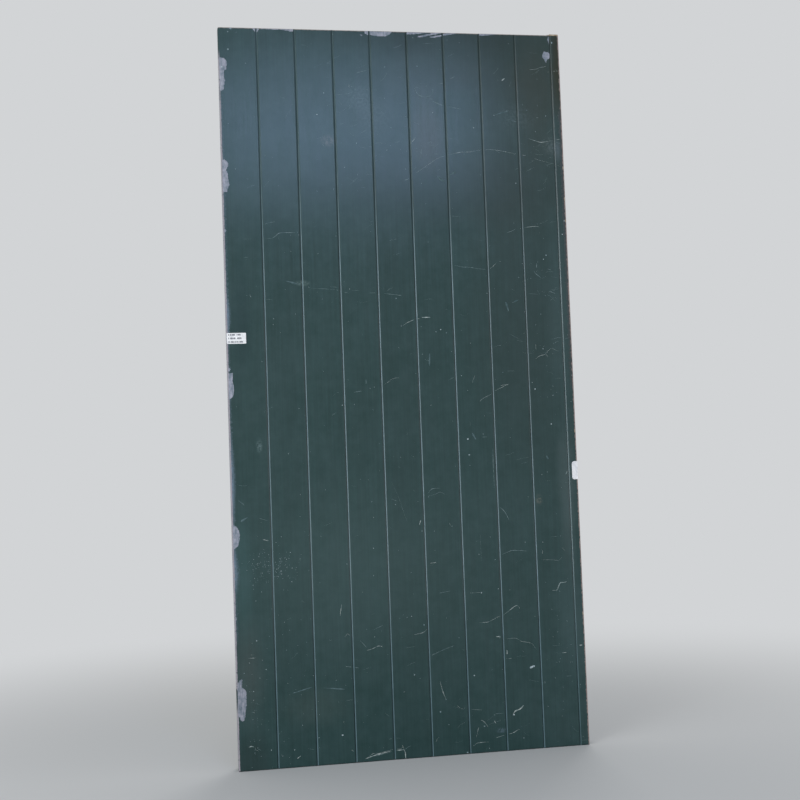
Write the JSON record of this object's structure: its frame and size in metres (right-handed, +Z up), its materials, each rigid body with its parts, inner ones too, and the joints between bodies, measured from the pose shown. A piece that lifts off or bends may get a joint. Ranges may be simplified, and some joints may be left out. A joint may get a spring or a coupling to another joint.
{
  "type": "barn door leaf",
  "caption": "Boarded barn door leaf: tongued and grooved V-jointed boards, painted dark green, screwed from behind to a half-lapped frame with two braces.",
  "frame": {"origin": "middle of the foot of the leaf, halfway through its thickness", "axes": "+Z up along the boards, +X to the right as seen from the front, the boarded face looks along -Y and the braced back along +Y"},
  "size_m": [0.925, 0.042, 1.923],
  "materials": {
    "board_paint": "satin",
    "frame_paint": "satin",
    "screw_steel": "satin",
    "undercoat": "matte",
    "label_paper": "matte"
  },
  "bodies": {
    "root": {"board_1": "board_paint", "board_2": "board_paint", "board_3": "board_paint", "board_4": "board_paint", "board_5": "board_paint", "board_6": "board_paint", "board_7": "board_paint", "board_8": "board_paint", "board_9": "board_paint", "ripped_board": "board_paint", "left_stile": "frame_paint", "right_stile": "frame_paint", "top_rail": "frame_paint", "middle_rail": "frame_paint", "bottom_rail": "frame_paint", "lower_brace": "frame_paint", "upper_brace": "frame_paint", "stile_screws": "screw_steel", "rail_screws": "screw_steel", "brace_screws": "screw_steel"}
  },
  "joints": []
}
